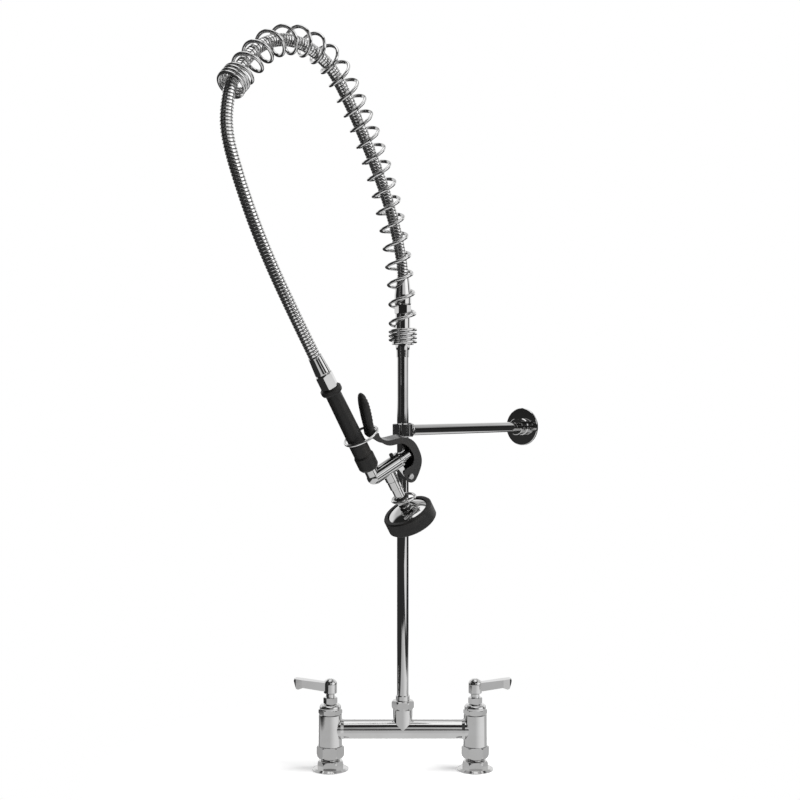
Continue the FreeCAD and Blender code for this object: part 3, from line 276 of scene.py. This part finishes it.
# Shapes, in metres
def mesh_piece(name, vertices, faces, finish, smooth=True):
    mesh = bpy.data.meshes.new(name)
    mesh.from_pydata([tuple(v) for v in vertices], [], faces)
    mesh.materials.append(finish)
    if smooth:
        mesh.polygons.foreach_set("use_smooth", [True] * len(mesh.polygons))
    mesh.update()
    piece = bpy.data.objects.new(name, mesh)
    scene.collection.objects.link(piece)
    return piece


def ring_faces(count, sides, capped):
    """Quads between rings of vertices, each ring of the same number of sides."""
    faces = []
    for i in range(count - 1):
        for k in range(sides):
            n = (k + 1) % sides
            faces.append((i * sides + k, i * sides + n, (i + 1) * sides + n, (i + 1) * sides + k))
    if capped:
        faces.append(tuple(range(sides))[::-1])
        faces.append(tuple(range((count - 1) * sides, count * sides)))
    return faces


def swept(name, rings, finish, sides, capped):
    """Round tube or wire; each ring has a centre, the way along, a side to start from and a radius."""
    vertices = []
    for centre, way, side, radius in rings:
        u = (side - way * side.dot(way)).normalized()
        v = way.cross(u)
        for k in range(sides):
            a = 2 * math.pi * k / sides
            vertices.append(centre + u * (radius * math.cos(a)) + v * (radius * math.sin(a)))
    return mesh_piece(name, vertices, ring_faces(len(rings), sides, capped), finish)


def hermite(t, start, start_slope, end, end_slope):
    """Smooth curve from start to end as t goes from 0 to 1, with the slopes given over that span."""
    return (
        start * (1 + 2 * t) * (1 - t) ** 2 + start_slope * t * (1 - t) ** 2
        + end * t * t * (3 - 2 * t) + end_slope * t * t * (t - 1))


class Path:
    """Points with their distances along, and the way at any distance."""

    def __init__(self, points):
        self.points = points
        self.along = [0.0]
        for a, b in zip(points, points[1:]):
            self.along.append(self.along[-1] + (b - a).length)
        self.length = self.along[-1]

    def at(self, along):
        along = min(max(along, 0.0), self.length)
        low = 0
        high = len(self.along) - 1
        while high - low > 1:
            middle = (low + high) // 2
            if self.along[middle] <= along:
                low = middle
            else:
                high = middle
        share = (along - self.along[low]) / max(self.along[high] - self.along[low], 1e-9)
        return self.points[low].lerp(self.points[high], share)

    def way(self, along, reach=0.002):
        return (self.at(along + reach) - self.at(along - reach)).normalized()


# One rib of the hose: share of the pitch, radius and how deep in the groove it lies (the depth also paints
# shade into the grooves)
hose_bore_r = 0.0048
groove_r = 0.00735
rib_profile = [
    (0.00, groove_r, 1.0), (0.07, groove_r, 1.0), (0.10, 0.00775, 0.7), (0.13, 0.00803, 0.2),
    (0.19, 0.00812, 0.0), (0.30, 0.00815, 0.0), (0.72, 0.00815, 0.0), (0.83, 0.00812, 0.0),
    (0.89, 0.00803, 0.2), (0.92, 0.00775, 0.7), (0.95, groove_r, 1.0),
]
rib_pitch = 0.0044
hose_sides = 40


def ribbed_hose(name, path, side):
    """Ribbed tube along a path, open at both ends down to its bore; 'depth' marks its grooves for painted
    shade.
    """
    count = int(round(path.length / rib_pitch))
    pitch = path.length / count
    rows = [(0.0, hose_bore_r, 1.0)]
    for i in range(count):
        rows += [((i + share) * pitch, radius, depth) for share, radius, depth in rib_profile]
    rows += [(path.length, groove_r, 1.0), (path.length, hose_bore_r, 1.0)]
    rings = [(path.at(along), path.way(along), side, radius) for along, radius, _ in rows]
    piece = swept(name, rings, strip_steel, hose_sides, capped=False)
    layer = piece.data.color_attributes.new("depth", "FLOAT_COLOR", "POINT")
    values = []
    for _, _, depth in rows:
        values += [depth, depth, depth, 1.0] * hose_sides
    layer.data.foreach_set("color", values)
    return piece


# The free hose: the route's points, then its line as one smooth spline
mouth = Vector((-0.21209, -0.22744, 0.88944))
mouth_way = Vector((-0.14197, -0.15224, -0.97809))
hose_route = [
    mouth,
    mouth + mouth_way * 0.022,
    Vector((-0.2133, -0.2341, 0.839)),
    Vector((-0.2066, -0.2323, 0.811)),
    Vector((-0.1952, -0.2266, 0.773)),
    Vector((-0.1798, -0.216, 0.727)),
    Vector((-0.1594, -0.1994, 0.676)),
    Vector((-0.137, -0.1796, 0.626)),
    Vector((-0.1204, -0.1634, 0.5898)),
    Vector((-0.10615, -0.15031, 0.55946)),
]


def spline_through(name, route):
    """Points of a smooth spline that follows the route and is gone again from the scene."""
    curve = bpy.data.curves.new(name, "CURVE")
    curve.dimensions = "3D"
    curve.resolution_u = 24
    spline = curve.splines.new("NURBS")
    spline.points.add(len(route) - 1)
    for point, place in zip(spline.points, route):
        point.co = (*place, 1.0)
    spline.order_u = 3
    spline.use_endpoint_u = True
    holder = bpy.data.objects.new(name, curve)
    scene.collection.objects.link(holder)
    bpy.context.view_layer.update()
    mesh = bpy.data.meshes.new_from_object(holder)
    points = [v.co.copy() for v in mesh.vertices]
    bpy.data.objects.remove(holder)
    bpy.data.meshes.remove(mesh)
    return points


free_line = Path(spline_through("hose_route", hose_route))
hose = ribbed_hose("free_hose", free_line, Vector((1, 0, 0)))
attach(hose, "spray_valve")
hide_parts("hose_lower")

# The spring's axis: upright, over in three arcs, and straight to its mouth. Each run has a radius, or
# none if straight, and its angle or length
bearing = math.radians(47.0)
outward = Vector((-math.cos(bearing), -math.sin(bearing), 0))
axis_runs = [
    (None, 0.021), (0.512, math.radians(40.5)), (0.092, math.radians(68.0)), (0.118, math.radians(29.5)),
    (None, 0.060),
]
spring_low = 0.594


def bent(point, heading, inward, radius, angle):
    """Point, heading and inward direction after an arc."""
    c = math.cos(angle)
    s = math.sin(angle)
    moved = point + heading * (radius * s) + inward * (radius * (1 - c))
    return moved, heading * c + inward * s, inward * c - heading * s


def axis_sections():
    point = Vector((0, 0, spring_low))
    heading = Vector((0, 0, 1))
    inward = outward.copy()
    made = []
    for radius, size in axis_runs:
        length = size if radius is None else radius * size
        made.append((point, heading, inward, radius, length))
        if radius is None:
            point = point + heading * length
        else:
            point, heading, inward = bent(point, heading, inward, radius, size)
    return made


sections = axis_sections()
spring_length = sum(section[4] for section in sections)


def spring_axis(along):
    """Point, heading and inward direction at a distance along the spring's axis."""
    for section in sections:
        point, heading, inward, radius, length = section
        if along <= length or section is sections[-1]:
            break
        along -= length
    if radius is None:
        return point + heading * along, heading, inward
    return bent(point, heading, inward, radius, along / radius)


# The hose inside the spring: distance along the axis, offset to the inside of the bend, slope
drift_rows = [
    (0.09498, -0.005392, -0.14704), (0.1105, -0.0066, 0.0), (0.215, 0.0, 0.09), (0.320, 0.006, 0.0),
    (0.420, 0.006, 0.0), (0.560, -0.0058, 0.0), (0.618, 0.0063, 0.577),
]
ferrule_top = 0.6895
ferrule_grip = 0.016
line_step = 0.002


def drift(along):
    for (a, offset_a, slope_a), (b, offset_b, slope_b) in zip(drift_rows, drift_rows[1:]):
        if along <= b or b == drift_rows[-1][0]:
            break
    span = b - a
    return hermite((along - a) / span, offset_a, slope_a * span, offset_b, slope_b * span)


def inner_line():
    """Straight up inside the ferrule, then along the axis with the drift, to the spring's mouth."""
    low = ferrule_top - ferrule_grip
    points = [Vector((0, 0, low + line_step * i)) for i in range(round(ferrule_grip / line_step))]
    along = drift_rows[0][0]
    last = drift_rows[-1][0]
    while along < last:
        centre, _, inward = spring_axis(along)
        points.append(centre + inward * drift(along))
        along += line_step
    centre, _, inward = spring_axis(last)
    points.append(centre + inward * drift_rows[-1][1])
    return points


inner_hose = ribbed_hose("inner_hose", Path(inner_line()), outward)
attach(inner_hose, "faucet")
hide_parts("hose_upper")

# The spring: closed turns at both ends, open ones between. Its foot stands a little wider, to clear the
# hub inside it
wire_d = 0.0047
wire_chamfer = 0.0003
wire_sides = 18
coil_d = 0.0394
foot_growth = 0.0005
coil_start = 0.0039
closed_turns = 3.5
open_turns = 23.0
closed_length = 0.0198
closed_pitch = closed_length / closed_turns
open_pitch = (spring_length - 2 * closed_length - 2 * coil_start) / open_turns
coil_phase = math.radians(17.0)
steps_per_turn = 56

# How far the open turns lie along the axis from even spacing: open turn, millimetres
coil_shift = [
    (0.0, 0.0), (3.0, 7.0), (6.0, 10.5), (8.5, 10.0), (11.0, 8.0), (14.0, 2.8), (16.5, 2.5), (19.0, 4.0),
    (21.0, 6.5), (22.3, 6.0), (23.0, 3.0), (24.0, 0.0),
]


def shift_at(opened):
    for (a, low), (b, high) in zip(coil_shift, coil_shift[1:]):
        if opened <= b:
            return hermite((opened - a) / (b - a), low, 0.0, high, 0.0) * 0.001
    return 0.0


def coil_along(turn):
    if turn < closed_turns:
        return coil_start + turn * closed_pitch
    opened = min(turn - closed_turns, open_turns)
    closed = max(0.0, turn - closed_turns - open_turns)
    shift = shift_at(opened + closed)
    return coil_start + closed_length + opened * open_pitch + closed * closed_pitch + shift


def coil_point(turn):
    """Point on the wire's own centreline, and the way out to it from the spring's axis."""
    centre, heading, inward = spring_axis(coil_along(turn))
    a = 2 * math.pi * turn + coil_phase
    growth = foot_growth * min(1.0, max(0.0, closed_turns + 1 - turn))
    radius = (coil_d - wire_d) / 2 + growth
    out = inward * (radius * math.cos(a)) + heading.cross(inward) * (radius * math.sin(a))
    return centre + out, out


def coil_spring():
    """Round wire with a small chamfer at its cut ends."""
    turns = 2 * closed_turns + open_turns
    steps = int(turns * steps_per_turn)
    wound = [coil_point(turns * i / steps) for i in range(steps + 1)]
    (first, first_out), (second, _) = wound[:2]
    (before_last, _), (last, last_out) = wound[-2:]
    wound.insert(0, (first - (second - first).normalized() * wire_d, first_out))
    wound.append((last + (last - before_last).normalized() * wire_d, last_out))
    radius = wire_d / 2
    rings = []
    for i, (point, out) in enumerate(wound):
        before = wound[max(i - 1, 0)][0]
        after = wound[min(i + 1, len(wound) - 1)][0]
        rings.append((point, (after - before).normalized(), out, radius))
    for end, inwards in ((0, 1), (-1, -1)):
        point, way, out, _ = rings[end]
        rings[end] = (point + way * (wire_chamfer * inwards), way, out, radius)
        cut = (point, way, out, radius - wire_chamfer)
        rings = [cut] + rings if end == 0 else rings + [cut]
    return swept("coil_spring", rings, wire_steel, wire_sides, capped=True)


coil = coil_spring()
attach(coil, "faucet")
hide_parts("spring")

# The finger grip of the squeeze lever, made in the spray valve's frame: rounded sections up the lever,
# hollowed round the handle and ridged under the fingers
valve_origin = Vector((-0.0385, -0.0880, 0.4153))
valve_across = Vector((0.7859, 0.3406, 0.5161))
valve_back = Vector((-0.4752, 0.8667, 0.1517))
valve_up = Vector((-0.3956, -0.3644, 0.8430))

# Height up the handle, near side, far side and half width, in millimetres
grip_rows = [
    (53.4, 17.6, 29.0, 10.6), (54.6, 16.2, 29.3, 11.5), (57.5, 16.2, 29.2, 11.4), (61.5, 16.6, 29.2, 9.6),
    (66.0, 17.6, 30.8, 8.2), (72.0, 18.8, 33.0, 7.8), (80.0, 20.8, 35.2, 7.8), (88.0, 22.9, 37.0, 7.8),
    (96.0, 25.0, 38.2, 7.6), (102.0, 26.9, 38.2, 6.9), (107.0, 28.9, 37.4, 5.6), (110.2, 30.7, 36.0, 3.6),
    (111.7, 32.2, 34.6, 1.2), (111.9, 32.9, 33.7, 0.4),
]
grip_step = 0.5
grip_sides = 56
grip_squareness = 0.78
ridge_low = 65.0
ridge_high = 106.0
ridge_step = 4.6
ridge_rise = 0.9
ridge_fade = 3.0

# The hollow nests round the handle's axis as it lies when the lever is squeezed
nest_radius = 12.8
nest_height = 53.85
nest_across = 7.39
nest_lean = 0.0963


def grip_section(height):
    """Near side, far side and half width at a height, on a smooth line through the rows."""
    index = 0
    while index < len(grip_rows) - 2 and height > grip_rows[index + 1][0]:
        index += 1
    before = grip_rows[max(index - 1, 0)]
    a = grip_rows[index]
    b = grip_rows[index + 1]
    after = grip_rows[min(index + 2, len(grip_rows) - 1)]
    span = b[0] - a[0]
    found = []
    for k in (1, 2, 3):
        slope_a = (b[k] - before[k]) / (b[0] - before[0]) * span
        slope_b = (after[k] - a[k]) / (after[0] - a[0]) * span
        found.append(hermite((height - a[0]) / span, a[k], slope_a, b[k], slope_b))
    return found


def ridge_at(height):
    rising = min(max((height - ridge_low) / ridge_fade, 0.0), 1.0)
    falling = min(max((ridge_high - height) / ridge_fade, 0.0), 1.0)
    return ridge_rise * rising * falling * abs(math.cos(math.pi * (height - ridge_low) / ridge_step))


def squared(value):
    """Swells a sine or cosine, so that a round section grows squarer."""
    return math.copysign(abs(value) ** grip_squareness, value)


def finger_grip():
    low = grip_rows[0][0]
    high = grip_rows[-1][0]
    heights = [low + grip_step * i for i in range(round((high - low) / grip_step))] + [high]
    vertices = []
    for height in heights:
        near, far, half_width = grip_section(height)
        middle = (near + far) / 2
        half_depth = (far - near) / 2
        nest = nest_across + (height - nest_height) * nest_lean
        ridge = ridge_at(height)
        for k in range(grip_sides):
            a = 2 * math.pi * k / grip_sides
            c = squared(math.cos(a))
            across = middle + half_depth * c - ridge * max(0.0, c) ** 2
            back = half_width * squared(math.sin(a))
            if abs(back) < nest_radius:
                across = max(across, nest + math.sqrt(nest_radius ** 2 - back ** 2))
            offset = valve_across * across + valve_back * back + valve_up * height
            vertices.append(valve_origin + offset * 0.001)
    faces = ring_faces(len(heights), grip_sides, capped=True)
    return mesh_piece("finger_grip", vertices, faces, trigger_black)


grip = finger_grip()
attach(grip, "trigger")
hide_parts("trigger_grip")

# Floor and lamps
shadow_near = 0.17
shadow_far = 0.45
floor_half = 30.0
floor_gap = 0.0004


def floor_finish():
    """White far off, with the faucet's soft shadow close by. Metal sees a table with dark surroundings."""
    made, tree, shader = material("floor")
    place = tree.place()
    away = tree.add("ShaderNodeVectorMath", {0: place}, operation="LENGTH").outputs["Value"]
    x, y, _ = tree.add("ShaderNodeSeparateXYZ", {0: place}).outputs
    rays = tree.add("ShaderNodeLightPath").outputs
    seen = tree.math("ADD", rays["Is Camera Ray"], rays["Is Transmission Ray"], clamp=True)
    far = tree.product(tree.step(away, shadow_near, shadow_far), seen)
    lift = tree.product(tree.step(away, shadow_near, shadow_far, 0.22, 1.0), seen)
    colour = tree.mix(far, grey(0.86), grey(0.0))
    plug(tree, shader, Base_Color=colour, Roughness=0.9, Specular_IOR_Level=0.0)
    plug(tree, shader, Emission_Color=grey(1.0), Emission_Strength=lift)
    table = tree.product(tree.band(x, -0.36, 0.60, 0.05), tree.band(y, -1.05, 0.80, 0.06))
    window = tree.product(tree.step(x, 0.85, 1.0), tree.band(y, -1.9, -0.35, 0.1))
    clear = tree.add("ShaderNodeBsdfTransparent").outputs[0]
    dark = tree.add("ShaderNodeEmission", {"Color": grey(1.0), "Strength": 0.035}).outputs[0]
    mirrored = tree.add("ShaderNodeMixShader", {0: tree.largest(table, window), 1: dark, 2: clear})
    whole = tree.add("ShaderNodeMixShader", {
        0: rays["Is Glossy Ray"], 1: shader.outputs[0], 2: mirrored.outputs[0]})
    tree.set(tree.output.inputs[0], whole.outputs[0])
    return made


floor = mesh_piece("floor", [
    (-floor_half, -floor_half, 0), (floor_half, -floor_half, 0), (floor_half, floor_half, 0),
    (-floor_half, floor_half, 0),
], [(0, 1, 2, 3)], floor_finish(), smooth=False)
floor.location.z = -floor_gap


def lamp(name, place, aim, size, power):
    data = bpy.data.lights.new(name, "AREA")
    data.shape = "RECTANGLE"
    data.size, data.size_y = size
    data.energy = power
    holder = bpy.data.objects.new(name, data)
    holder.location = place
    holder.rotation_euler = (Vector(aim) - Vector(place)).to_track_quat("-Z", "Y").to_euler()
    holder.visible_glossy = False
    scene.collection.objects.link(holder)


lamp("key", place=(1.8, -0.35, 1.25), aim=(0, 0, 0.05), size=(2.2, 0.5), power=75.0)
lamp("overhead", place=(-0.2, 0.1, 2.6), aim=(0, 0, 0.3), size=(2.0, 1.6), power=9.0)


# Studio that the metal reflects: a white backdrop, a table with painted shadow on it, dark surroundings
# and a few lit panels
def reflected_room(tree, x, y, z):
    """Brightness of the studio in each direction; x to the right, y away from the camera, z up."""
    backdrop = tree.product(
        tree.step(y, 0.28, 0.46), tree.step(z, 0.40, 0.62, 1.0, 0.62), tree.step(z, 0.86, 0.78),
        tree.step(z, -0.02, 0.0))
    overhead = tree.product(tree.step(z, 0.86, 0.92), 1.35)
    panel = tree.product(
        tree.band(z, 0.19, 0.52, 0.04), tree.step(y, -0.25, -0.40), tree.step(x, -0.20, 0.12), 0.75)
    softbox = tree.product(
        tree.band(x, 0.58, 1.10, 0.06), tree.band(z, -0.24, 0.40, 0.05), tree.step(y, 0.06, -0.06),
        tree.step(z, -0.05, 0.16, 0.72, 1.45))
    high_box = tree.product(
        tree.step(x, 0.45, 0.60), tree.band(z, 0.40, 0.80, 0.05), tree.step(y, 0.40, 0.25), 0.85)
    left_glow = tree.product(tree.band(x, -0.90, -0.50, 0.10), tree.step(y, -0.30, -0.45), 0.05)

    # Below the horizon: the lit table, its near part, and painted shadow on the table behind on the left
    table_shine = tree.add_up(
        tree.step(x, -0.15, 0.95, 0.61, 0.99),
        tree.product(tree.step(y, 0.02, 0.22), tree.step(x, 0.40, 0.70), -0.40))
    steep = tree.step(z, -0.36, -0.75)
    shine = tree.add_up(
        tree.product(table_shine, tree.math("SUBTRACT", 1.0, steep)), tree.product(steep, 0.77))
    # Painted shadow: the reflected table is halved in brightness behind on the left, where the bases'
    # shadow falls
    table_shadow = tree.product(
        tree.step(y, 0.45, 0.62), tree.step(x, -0.05, -0.25), tree.step(z, -0.70, -0.45))
    lower = tree.product(tree.step(z, -0.04, -0.06), shine, tree.math("MULTIPLY_ADD", table_shadow, -0.50, 1.0))

    brightest = tree.largest(backdrop, overhead, panel, softbox, high_box, lower, left_glow)
    return tree.add_up(brightest, 0.022)


def studio():
    """White to the camera, the room above to reflections, and an even light to everything else."""
    world = bpy.data.worlds.new("studio")
    world.use_nodes = True
    tree = Nodes(world.node_tree)
    way = tree.add("ShaderNodeTexCoord").outputs["Generated"]
    x, y, z = tree.add("ShaderNodeSeparateXYZ", {0: way}).outputs
    rays = tree.add("ShaderNodeLightPath").outputs
    glossy = rays["Is Glossy Ray"]
    seen = tree.math("ADD", rays["Is Camera Ray"], rays["Is Transmission Ray"], clamp=True)
    strength = tree.add_up(
        tree.product(tree.math("SUBTRACT", 1.0, glossy), 0.5),
        tree.product(glossy, reflected_room(tree, x, y, z)))
    strength = tree.add_up(tree.product(strength, tree.math("SUBTRACT", 1.0, seen)), seen)
    background = tree.add("ShaderNodeBackground", {"Color": grey(1.0), "Strength": strength})
    tree.add("ShaderNodeOutputWorld", {0: background.outputs[0]})
    return world


scene.world = studio()
scene.view_settings.view_transform = "Standard"
